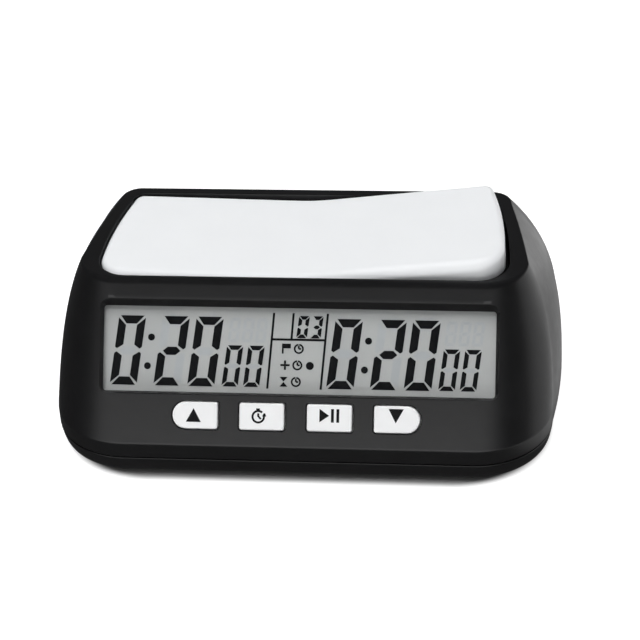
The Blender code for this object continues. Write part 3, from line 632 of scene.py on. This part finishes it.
def window_recess():
    """The flared display opening, with its edge eased where it meets the panel's face."""
    ease, ease_depth = 0.16, 0.25
    loops = [at_height(round_rect((-OPENING_HALF, OPENING_HALF), OPENING_SPAN, 0.8), -WALL - 4)]
    depths = [WALL, 1.6, 1.0] + [ease_depth * (1 - i / 5) for i in range(6)]
    for depth in depths:
        share = 1 - depth / WALL
        grow = ease * max(1 - depth / ease_depth, 0) ** 2
        half = mix(OPENING_HALF, FRAME_HALF, share) + grow
        span = (mix(OPENING_SPAN[0], FRAME_SPAN[0], share) - grow,
                mix(OPENING_SPAN[1], FRAME_SPAN[1], share) + grow)
        loops.append(at_height(round_rect((-half, half), span, mix(0.8, 3.0, share) + grow), -depth))
    loops.append([(x, y, 3.0) for x, y, _ in loops[-1]])
    return skin(loops, PANEL)


def key_outline(name, grow):
    """Outline of a key on the panel. The outer two have a round outer end."""
    corner, round_end = 0.7, 3.9
    outer = name in ("up_key", "down_key")
    span = OUTER_KEY_X if outer else INNER_KEY_X
    far = round_end if outer else corner
    shape = round_rect((span[0] - grow, span[1] + grow), (KEY_SPAN[0] - grow, KEY_SPAN[1] + grow),
                       corner + grow, far + grow)
    if name in ("up_key", "timer_key"):
        return [(-x, y) for x, y in reversed(shape)]
    return shape


KEYS = ("up_key", "timer_key", "pause_key", "down_key")


def key_openings():
    """Cutters for the four key apertures, opened out a little at the panel's face."""
    ease, ease_depth = 0.25, 0.4
    openings = []
    for name in KEYS:
        loops = [at_height(key_outline(name, KEY_GAP), -6.0)]
        for i in range(6):
            depth = ease_depth * (1 - i / 5)
            loops.append(at_height(key_outline(name, KEY_GAP + ease * (1 - depth / ease_depth) ** 2), -depth))
        loops.append([(x, y, 3.0) for x, y, _ in loops[-1]])
        openings.append(skin(loops, PANEL))
    return openings


def lower_shell():
    """Lower housing: floor, rounded outer wall, lip inside the seam, columns, battery bay and recesses."""
    seam_edge, lip_top, floor_top = SEAM_Z - GAP / 2, 8.8, 3.2
    lip_inset, inner_inset = WALL + GAP, WALL + GAP + 1.2
    heights = (FOOT_HEIGHT, 1.12, 1.3, 1.55, 1.9, 2.4, 3.2, 4.2, 5.4)
    loops = [body_section(z) for z in heights]
    loops += seam_rounding(seam_edge, False)
    loops += [body_section(seam_edge, lip_inset), body_section(lip_top, lip_inset),
              body_section(lip_top, inner_inset), body_section(floor_top, inner_inset)]
    screws, feet_places = centres("housing_screw"), centres("foot_")
    bay_y, around_bay = middle("battery_cell").y, [half + BAY_WALL for half in BAY_HALF]
    bay_block = block_at(0, bay_y, around_bay, 2, BAY_ROOF_Z + BAY_SKIN)
    bay = block_at(0, bay_y, BAY_HALF, 0.5, BAY_ROOF_Z)
    door_low, door_high = box_mm("battery_door")
    door = block((door_low.x - GAP, door_low.y - GAP - 0.1, 0), (door_high.x + GAP, door_high.y + 0.4, 3.3))
    notch = block((-NOTCH_HALF, door_low.y - 3.4, -0.5), (NOTCH_HALF, door_low.y, 2.0))
    switch = middle("power_switch")
    slots = [block_at(x, bay_y, CONTACT_SLOT, BAY_ROOF_Z - 1, BAY_ROOF_Z + 3)
             for x in (-CONTACT_X, CONTACT_X)]
    slots.append(block_at(switch.x, switch.y, POWER_SLOT, -0.2, 5))
    recesses = [block_at(switch.x, switch.y, POWER_RECESS, 0, 1.9)]
    recesses += uprights(screws, 0, HEAD_RECESS) + uprights(feet_places, 0, FOOT_RECESS)
    columns = uprights(screws, 2, COLUMN) + uprights(feet_places, 2, FOOT_PAD)
    clearances = uprights(screws, COLUMN[1] + 0.05, (SCREW_POST_RADIUS + GAP, 12))
    bores = uprights(screws, -0.5, (SCREW_BORE_RADIUS, 8))
    mesh = carved(skin(loops), (("UNION", columns), ("UNION", [bay_block]), ("DIFFERENCE", clearances),
                                ("DIFFERENCE", [bay]), ("DIFFERENCE", [door]), ("DIFFERENCE", [notch]),
                                ("DIFFERENCE", slots), ("DIFFERENCE", recesses), ("DIFFERENCE", bores)))
    piece("lower_shell", mesh, "housing", replaces=["lower_housing"])


# ---------------------------------------------------------------- rocker
def wing_height(x):
    """Top of the rocker across its width: two straight wings that rise from a rounded valley."""
    rise, valley = math.tan(math.radians(ROCKER_WING)), ROCKER_VALLEY_HALF
    height = abs(x) if abs(x) >= valley else (x * x / valley + valley) / 2
    return ROCKER_VALLEY_Z + rise * (height - valley / 2) - AXLE_Z


def rocker():
    """The white key: a hollow cap with a soft front edge, hinge lugs and two legs."""
    stations = [ROCKER_VALLEY_HALF * i / 10 for i in range(11)] + [14.0, 27.0, 41.0]
    plan = pocket_outline(0, stations)
    step_in = [Vector(b) - Vector(a) for a, b in zip(plan, pocket_outline(-1, stations))]
    edges = [mix(ROCKER_SIDE_EDGE, ROCKER_FRONT_EDGE, share) for share in front_share(len(plan), stations)]
    skirt = ROCKER_SKIRT_Z - AXLE_Z

    def ring(insets, height):
        points = [Vector(place) + step * inset for place, step, inset in zip(plan, step_in, insets)]
        return [(point.x, point.y, height(point.x, i)) for i, point in enumerate(points)]

    wall, ease = 1.8, 0.25
    level = [wall] * len(plan)
    loops = [ring(level, lambda x, i: wing_height(x) - ROCKER_SKIN), ring(level, lambda x, i: skirt)]
    for gone, left in quarter_round(4):
        loops.append(ring([ease * left] * len(plan), lambda x, i, rise=gone: skirt + ease * rise))
    for gone, left in quarter_round(14):
        loops.append(ring([edge * gone for edge in edges],
                          lambda x, i, drop=left: wing_height(x) - edges[i] * drop))
    cap = capped_strips(loops, len(stations))
    lugs, webs, half = [], [], LUG_WIDTH / 2
    for y in LUG_CENTRES_Y:
        lugs.append(rod((0, y - half, 0), (0, y + half, 0), LUG_RADIUS))
        webs.append(block_at(0, y, (LUG_RADIUS, half), 0, 5.6))
    leg_half = (LEG_SIZE / 2, LEG_SIZE / 2)
    legs = [block_at(x, LEG_Y, leg_half, LEG_FOOT_Z - AXLE_Z, 8.4) for x in (-LEG_X, LEG_X)]
    bore = [rod((0, -20, 0), (0, 40, 0), BORE_RADIUS)]
    mesh = carved(cap, (("UNION", webs + legs), ("UNION", lugs), ("DIFFERENCE", bore)))
    mesh.transform(ROCKER_FRAME)
    piece("rocker_key", mesh, "rocker", "rocker", ["rocker"], smooth=40)


def capped_strips(loops, stations):
    """A skin with ends closed by strips from the front edge to the back one and a flat face at each side."""
    shape = bmesh.new()
    rings = walls(shape, loops)
    half = (len(rings[0]) + 2) // 2
    for ring, flip in ((rings[0], True), (rings[-1], False)):
        right = ring[:half]
        left = [ring[0]] + list(reversed(ring[half - 1:]))
        for side, mirrored in ((right, False), (left, True)):
            front, back = side[:stations + 1], list(reversed(side[-stations - 1:]))
            faces = [(front[k], front[k + 1], back[k + 1], back[k]) for k in range(stations)]
            faces.append(side[stations:len(side) - stations])
            for face in faces:
                shape.faces.new(reversed(face) if flip != mirrored else face)
    return mesh_from(shape)


# ---------------------------------------------------------------- keys
def keys():
    for name in KEYS:
        flange_low, flange_top = -3.4, -2.5
        loops = [at_height(key_outline(name, grow), height)
                 for grow, height in ((KEY_FLANGE, flange_low), (KEY_FLANGE, flange_top), (0, flange_top))]
        for gone, left in quarter_round(7):
            loops.append(at_height(key_outline(name, -KEY_EDGE * gone), KEY_PROUD - KEY_EDGE * left))
        stem = PANEL.inverted() @ (middle(name + "_plunger") * MM) / MM
        stem_rod = rod((stem.x, stem.y, -KEY_STEM_DEPTH), (stem.x, stem.y, -3.0), 2.0, PANEL)
        mesh = carved(skin(loops, PANEL), (("UNION", [stem_rod]),))
        piece(name + "_cap", mesh, "key", name, [name])
    for name, outlines in key_marks().items():
        piece(name + "_mark", printed(outlines, KEY_PROUD + 0.005, KEY_PROUD + 0.03), "key_ink", name)


def printed(outlines, low, high):
    """Thin flat prisms on the panel, from counter-clockwise outlines of x and distance up the panel."""
    return gathered([skin([at_height(shape, low), at_height(shape, high)], PANEL) for shape in outlines])


def bar(start, end, width):
    """A straight stroke between two points."""
    start, end = Vector(start), Vector(end)
    side = (end - start).orthogonal().normalized() * width / 2
    return [tuple(point) for point in (start + side, start - side, end - side, end + side)]


def ring_arc(centre, radius, width, start, end, steps=48):
    """A round stroke, as one outline."""
    return (arc(centre, radius + width / 2, start, end, steps)
            + arc(centre, radius - width / 2, end, start, steps))


def key_marks():
    """Symbols on the keys: up, timer, run or pause, down."""
    up = [(-32.7, 7.05), (-28.2, 7.05), (-30.45, 11.1)]
    down = [(27.55, 12.15), (29.7, 7.95), (32.05, 12.15)]
    centre = x, s = -11.05, 9.0
    timer = [ring_arc(centre, 1.7, 0.62, 48, 365), bar((x, s), (x, s + 1.0), 0.6),
             bar((x, s + 0.15), (x + 0.8, s - 0.7), 0.55), bar((x - 0.1, s + 1.95), (x - 0.1, s + 2.45), 1.1),
             [(x + 1.15, s + 0.1), (x + 2.4, s + 0.1), (x + 2.05, s + 1.05), (x + 1.6, s + 1.05)]]
    run = [[(7.15, 7.75), (10.0, 9.75), (7.15, 11.75)]]
    run += [bar((x, 7.75), (x, 11.75), 0.85) for x in (11.0, 12.6)]
    return {"up_key": [up], "timer_key": timer, "pause_key": run, "down_key": [down]}


# ---------------------------------------------------------------- display
LIT = {"0": "abcdef", "2": "abged", "3": "abgcd", "blank": ""}


def digit(left, top, width, height, stroke, gap, slant):
    """The seven segments of a leaning digit, by letter. left is its outer edge at the top."""
    middle_v, w, t = -height / 2, width, stroke
    side = [(0, -1.3 * gap), (t, -t - 0.9 * gap), (t, middle_v + 0.68 * t), (0.27 * t, middle_v + 0.9 * gap),
            (0, middle_v + 0.40 * t)]
    shapes = {
        "f": side,
        "b": [(w - u, v) for u, v in reversed(side)],
        "e": [(u, 2 * middle_v - v) for u, v in reversed(side)],
        "c": [(w - u, 2 * middle_v - v) for u, v in side],
        "a": [(gap, 0), (t + 0.1 * gap, -t), (w - t - 0.1 * gap, -t), (w - gap, 0)],
        "d": [(gap, -height), (w - gap, -height), (w - t - 0.1 * gap, t - height),
              (t + 0.1 * gap, t - height)],
        "g": [(0.58 * t, middle_v), (1.12 * t, middle_v - t / 2), (w - 1.12 * t, middle_v - t / 2),
              (w - 0.58 * t, middle_v), (w - 1.12 * t, middle_v + t / 2), (1.12 * t, middle_v + t / 2)],
    }
    return {letter: counter_clockwise([(left + u + slant * v, top + v) for u, v in shape])
            for letter, shape in shapes.items()}


def counter_clockwise(outline):
    area = sum(x0 * y1 - x1 * y0 for (x0, y0), (x1, y1) in zip(outline, outline[1:] + outline[:1]))
    return outline if area > 0 else list(reversed(outline))


BIG_DIGIT = (38.4, 8.2, 20.8, 2.45, 0.5, 0.122)       # top, width, height, stroke, gap, slant
SMALL_DIGIT = (30.0, 4.9, 12.3, 1.35, 0.32, 0.122)
UPPER_DIGIT = (38.2, 3.2, 7.2, 0.9, 0.2, 0.122)


def time_group(start, pitch):
    """One player's time: hours, two minutes, two small seconds, and three unlit digits over the seconds.

    Returns lit and unlit outlines.
    """
    places = (("0", 0.0, BIG_DIGIT), ("2", 13.25, BIG_DIGIT), ("0", 23.5, BIG_DIGIT),
              ("0", 32.85, SMALL_DIGIT), ("0", 39.3, SMALL_DIGIT),
              ("blank", 33.8, UPPER_DIGIT), ("blank", 37.9, UPPER_DIGIT), ("blank", 42.0, UPPER_DIGIT))
    lit, unlit = [], []
    for value, shift, size in places:
        for letter, outline in digit(start + shift * pitch, *size).items():
            (lit if letter in LIT[value] else unlit).append(outline)
    for s, shift in ((32.0, 9.9), (23.4, 8.85)):
        lit.append(arc((start + shift, s), 1.05, 0, 345, 23))
    return lit, unlit


def centre_cell():
    """Lines between the two players' halves, the small game number, and three generic mode marks."""
    width = 0.66
    lines = [bar((-7.5, 39.9), (-9.15, 17.3), width), bar((8.6, 39.9), (6.85, 17.3), width),
             bar((-8.0, 32.0), (8.0, 32.0), width), bar((-1.65, 39.9), (-2.15, 32.2), width)]
    for value, left in (("0", 0.05), ("3", 4.15)):
        for letter, outline in digit(left, 39.1, 3.2, 6.6, 1.1, 0.2, 0.125).items():
            if letter in LIT[value]:
                lines.append(outline)
    lines.append(arc((3.5, 24.3), 1.2, 0, 348, 29))
    return lines + mode_marks()


def mode_marks():
    """Three rows of plain symbols: flag and dial, plus and dial, hourglass and dial."""
    stroke, marks = 0.52, []
    for i, s in enumerate((29.3, 24.4, 19.45)):
        x = -3.6 - 0.35 * i
        dial = (x + 3.7, s)
        marks += [ring_arc(dial, 1.25, stroke, 95, 445, 40), bar(dial, (dial[0], s + 0.9), stroke),
                  bar(dial, (dial[0] + 0.7, s), stroke)]
        if i == 0:
            marks += [bar((x - 1.1, s - 1.5), (x - 1.1, s + 1.5), stroke),
                      [(x - 0.85, s + 0.1), (x + 1.3, s + 0.1), (x + 1.3, s + 1.5), (x - 0.85, s + 1.5)]]
        elif i == 1:
            marks += [bar((x - 1.4, s), (x + 1.4, s), 0.6), bar((x, s - 1.4), (x, s - 0.32), 0.6),
                      bar((x, s + 0.32), (x, s + 1.4), 0.6)]
        else:
            marks += [[(x - 1.2, s + 1.45), (x, s + 0.08), (x + 1.2, s + 1.45)],
                      [(x - 1.2, s - 1.45), (x + 1.2, s - 1.45), (x, s - 0.08)]]
    return marks


def display():
    depth = -LCD_DEPTH[0]
    for side, start, pitch in (("left", -54.3, 1.0), ("right", 10.95, 0.982)):
        lit, unlit = time_group(start, pitch)
        piece(f"lcd_{side}_time", printed(lit, depth + 0.03, depth + 0.06), "segment")
        piece(f"lcd_{side}_unlit", printed(unlit, depth + 0.01, depth + 0.02), "ghost")
    piece("lcd_centre_marks", printed([counter_clockwise(line) for line in centre_cell()], depth + 0.03,
                                      depth + 0.06), "segment")


# ---------------------------------------------------------------- underside and inside
def battery_door():
    low, high = box_mm("battery_door")
    radius = (high.z - low.z) / 2
    hinge_y = high.y - radius
    profile = arc((hinge_y, low.z + radius), radius, -90, 90, 16)
    profile += [(low.y + 0.4, high.z), (low.y, high.z - 0.4), (low.y, low.z + 0.4), (low.y + 0.4, low.z)]
    ease = 0.35
    loops = []
    for x, shrink in ((low.x, ease), (low.x + ease * 0.3, ease * 0.3), (low.x + ease, 0),
                      (high.x - ease, 0), (high.x - ease * 0.3, ease * 0.3), (high.x, ease)):
        centre_y, centre_z = (low.y + high.y) / 2, low.z + radius
        scale_y, scale_z = 1 - shrink / (high.y - low.y) * 2, 1 - shrink / radius
        loops.append([(x, centre_y + (y - centre_y) * scale_y, centre_z + (z - centre_z) * scale_z)
                      for y, z in profile])
    count, pitch = DOOR_GROOVES
    first, groove_half = hinge_y - 17.45, (7, 0.35)
    grooves = [block_at(0, first + pitch * i, groove_half, low.z - 1, low.z + 0.4) for i in range(count)]
    mesh = carved(skin(loops), (("DIFFERENCE", grooves),))
    piece("battery_door_flap", mesh, "housing", "battery_door", ["battery_door"])


def feet():
    for name in nodes_named("foot_"):
        low, high = box_mm(name)
        centre = middle(name)
        top = (high.x - low.x) / 2
        height = high.z - low.z
        profile = [(0.0, top - 1.3), (0.08, top - 0.75), (0.3, top - 0.42), (0.8, top - 0.25),
                   (height - 0.2, top), (height, top - 0.15)]
        mesh = turned(profile, (centre.x, centre.y, low.z))
        piece(name + "_pad", mesh, "rubber", replaces=[name])


def battery():
    """One AA cell: flat negative end, crimped sleeve edges and the raised positive button."""
    low, high = box_mm("battery_cell")
    centre = middle("battery_cell")
    radius, base = (high.y - low.y) / 2, (low.x, centre.y, centre.z)
    body_end = high.x - low.x - 1.2
    profile = [(0.0, radius - 2.3), (0.15, radius - 1.9), (0.15, radius - 1.1), (0.35, radius - 0.45),
               (0.9, radius - 0.05), (1.3, radius), (body_end - 1.3, radius), (body_end - 0.8, radius - 0.1),
               (body_end - 0.35, radius - 0.5), (body_end - 0.2, radius - 1.1), (body_end - 0.2, 3.1),
               (body_end - 0.1, 2.75), (body_end + 0.9, 2.7), (body_end + 1.15, 2.4), (body_end + 1.2, 1.9)]
    piece("battery_aa", turned(profile, base, (1, 0, 0), 64), "battery", replaces=["battery_cell"])


def power_knob():
    low, high = box_mm("power_knob")
    centre = middle("power_knob")
    half = (high - low) / 2
    loops = []
    for z, shrink in ((low.z, 0.35), (low.z + 0.1, 0.12), (low.z + 0.35, 0.0), (high.z, 0.0)):
        outline = round_rect((centre.x - half.x + shrink, centre.x + half.x - shrink),
                             (centre.y - half.y + shrink, centre.y + half.y - shrink), 0.5 - shrink / 2)
        loops.append(at_height(outline, z))
    grooves = [block_at(centre.x + 1.2 * i, centre.y, (0.25, half.y + 1), low.z - 1, low.z + 0.3)
               for i in (-1, 0, 1)]
    mesh = carved(skin(loops), (("DIFFERENCE", grooves),))
    piece("power_slider", mesh, "switch_plastic", "power_knob", ["power_knob"])


def carried_over():
    """CAD nodes that are shown as they are, with finished materials."""
    looks = {"display_window": "window", "lcd_glass": "lcd", "zebra_strip": "silicone",
             "main_board": "circuit_board", "switch_board": "circuit_board", "controller_chip": "epoxy",
             "buzzer": "switch_plastic", "rocker_pin": "steel", "battery_contact": "steel",
             "battery_spring": "steel", "power_switch": "steel", "battery_wire_red": "wire_red",
             "battery_wire_black": "wire_black", "switch_cable": "cable"}
    for name, node in NODES.items():
        plastic = "switch_plastic" if name.endswith(("_switch", "_plunger")) else None
        look = looks.get(name, "steel" if "screw" in name else plastic)
        if look:
            node.data.materials.clear()
            node.data.materials.append(LOOKS[look])


# ---------------------------------------------------------------- floor, light and camera
def area_light(name, place, size, brightness, target=(0, -10, 30)):
    """A soft rectangular light with no reflection. brightness is what its face would show as, 1 for white."""
    data = bpy.data.lights.new(name, "AREA")
    data.shape = "RECTANGLE"
    data.size, data.size_y = size[0] * MM, size[1] * MM
    data.energy = brightness * math.pi * data.size * data.size_y
    light = linked(name, data)
    light.location = Vector(place) * MM
    light.rotation_euler = (Vector(target) - Vector(place)).to_track_quat("-Z", "Y").to_euler()
    light.visible_camera = light.visible_glossy = False


def stage_block(name, low, high, look):
    """A block that belongs to the studio and not to the clock."""
    thing = linked(name, block(low, high))
    thing.data.materials.append(look)
    return thing


def glowing(name, low, high, brightness):
    """A block that glows evenly and casts no light or shadow. It shows neither directly nor reflected."""
    glow = Graph(name, Base_Color=(0, 0, 0, 1), Emission_Color=(1, 1, 1, 1), Emission_Strength=brightness)
    thing = stage_block(name, low, high, glow.material)
    thing.visible_camera = thing.visible_glossy = thing.visible_transmission = False
    thing.visible_diffuse = thing.visible_shadow = False
    return thing


def card(name, low, high, brightness):
    """A bright card that only shows as a reflection."""
    glowing(name, low, high, brightness).visible_glossy = True


def glow_with_painted_shadow(graph):
    """The floor's own glow: even all round, and fading out close under the clock, which paints a contact
    shadow along the clock's outline.
    """
    brightness, corner, side_inset, forward = 0.95, 30.0, 2.5, 2.1
    fade_start, fade_end = corner - 3.2, corner + 0.8
    inner = Vector((SEAM_HALF[1] - side_inset - corner, HALF_DEPTH - corner, 1 / MM)) * MM
    step = graph.place
    for operation, value in (("ADD", (0, forward * MM, 0)), ("ABSOLUTE", (0, 0, 0)), ("SUBTRACT", inner),
                             ("MAXIMUM", (0, 0, 0))):
        step = graph.node("VectorMath", {0: step, 1: value}, operation=operation).outputs["Vector"]
    reach = graph.node("VectorMath", {0: step}, operation="LENGTH").outputs["Value"]
    # painted contact shadow: the glow fades to nothing in a rounded band round the clock's base, a little
    # forward of it
    fade = {"Value": reach, "From Min": fade_start * MM, "From Max": fade_end * MM, "To Max": brightness}
    return graph.node("MapRange", fade, interpolation_type="SMOOTHSTEP").outputs["Result"]


def floor():
    paper = Graph("floor", Base_Color=(0.42, 0.42, 0.42, 1), Roughness=0.9, Specular_IOR_Level=0.0,
                  Emission_Color=(1, 1, 1, 1))
    # the floor's glow carries a painted contact shadow round the clock
    paper.tree.links.new(glow_with_painted_shadow(paper), paper.shader.inputs["Emission Strength"])
    stage_block("floor", (-2500, -2500, -4), (2500, 2500, 0), paper.material).visible_glossy = False


def sky():
    """A dim studio, brightest high up behind the clock."""
    world = bpy.data.worlds.new("studio")
    bpy.context.scene.world = world
    world.use_nodes = True
    tree = world.node_tree
    direction = add_node(tree, "TexCoord", {}).outputs["Generated"]
    split = add_node(tree, "VectorMath", {0: direction, 1: (0, 0.75, 0.66)}, operation="DOT_PRODUCT")
    share = add_node(tree, "MapRange", {"Value": split.outputs["Value"], "From Min": -1.0})
    stops = [(position, (value, value, value * 1.01))
             for position, value in ((0.0, 0.10), (0.40, 0.06), (0.70, 0.08), (1.0, 0.11))]
    colour = colour_ramp(tree, share.outputs["Result"], stops)
    tree.links.new(colour, tree.nodes["Background"].inputs["Color"])


def studio():
    floor()
    glowing("backdrop", (-2450, -2450, -3), (2450, 2450, 2450), 1.0).visible_camera = True
    card("near_side_card", (82, -80, -2), (700, 100, -1), 0.66)
    card("far_side_card", (82, 100, -2), (700, 900, -1), 1.15)
    card("right_wall", (700, -100, 0), (701, 900, 320), 0.85)
    card("front_card", (-400, -341, 0), (220, -340, 235), 1.85)
    sky()
    area_light("key_light", (-90, -60, 930), (700, 600), 6.35, target=(0, 0, 20))
    area_light("front_left", (-800, -700, 520), (500, 500), 1.3)
    area_light("front_right", (820, -620, 460), (500, 500), 0.5)
    bpy.context.scene.view_settings.view_transform = "Standard"


def camera():
    """The long-lens view from a little to the right and 35 degrees above, rolled slightly."""
    azimuth, elevation, roll = math.radians(8.3), math.radians(35), math.radians(-3.72)
    target, distance = Vector((0, -11.2, 30)), 674.8
    back = Vector((math.sin(azimuth) * math.cos(elevation), -math.cos(azimuth) * math.cos(elevation),
                   math.sin(elevation)))
    level = Vector((math.cos(azimuth), math.sin(azimuth), 0))
    rise = back.cross(level)
    right = level * math.cos(roll) + rise * math.sin(roll)
    up = -level * math.sin(roll) + rise * math.cos(roll)
    data = bpy.data.cameras.new("camera")
    data.lens, data.sensor_width = 125.15, 36.0
    aim = -back + right * 0.0071 + up * 0.0056    # turns the view so that the frame needs no shift
    forward = aim.normalized()
    right = (right - forward * right.dot(forward)).normalized()
    up = right.cross(forward)
    view = linked("camera", data)
    view.matrix_world = Matrix.Translation((target + back * distance) * MM) @ Matrix(
        (right, up, -forward)).transposed().to_4x4()
    data.clip_start, data.clip_end = 0.01, 20
    bpy.context.scene.camera = view


make_looks()
upper_shell()
lower_shell()
rocker()
keys()
display()
battery_door()
feet()
battery()
power_knob()
carried_over()
studio()
camera()
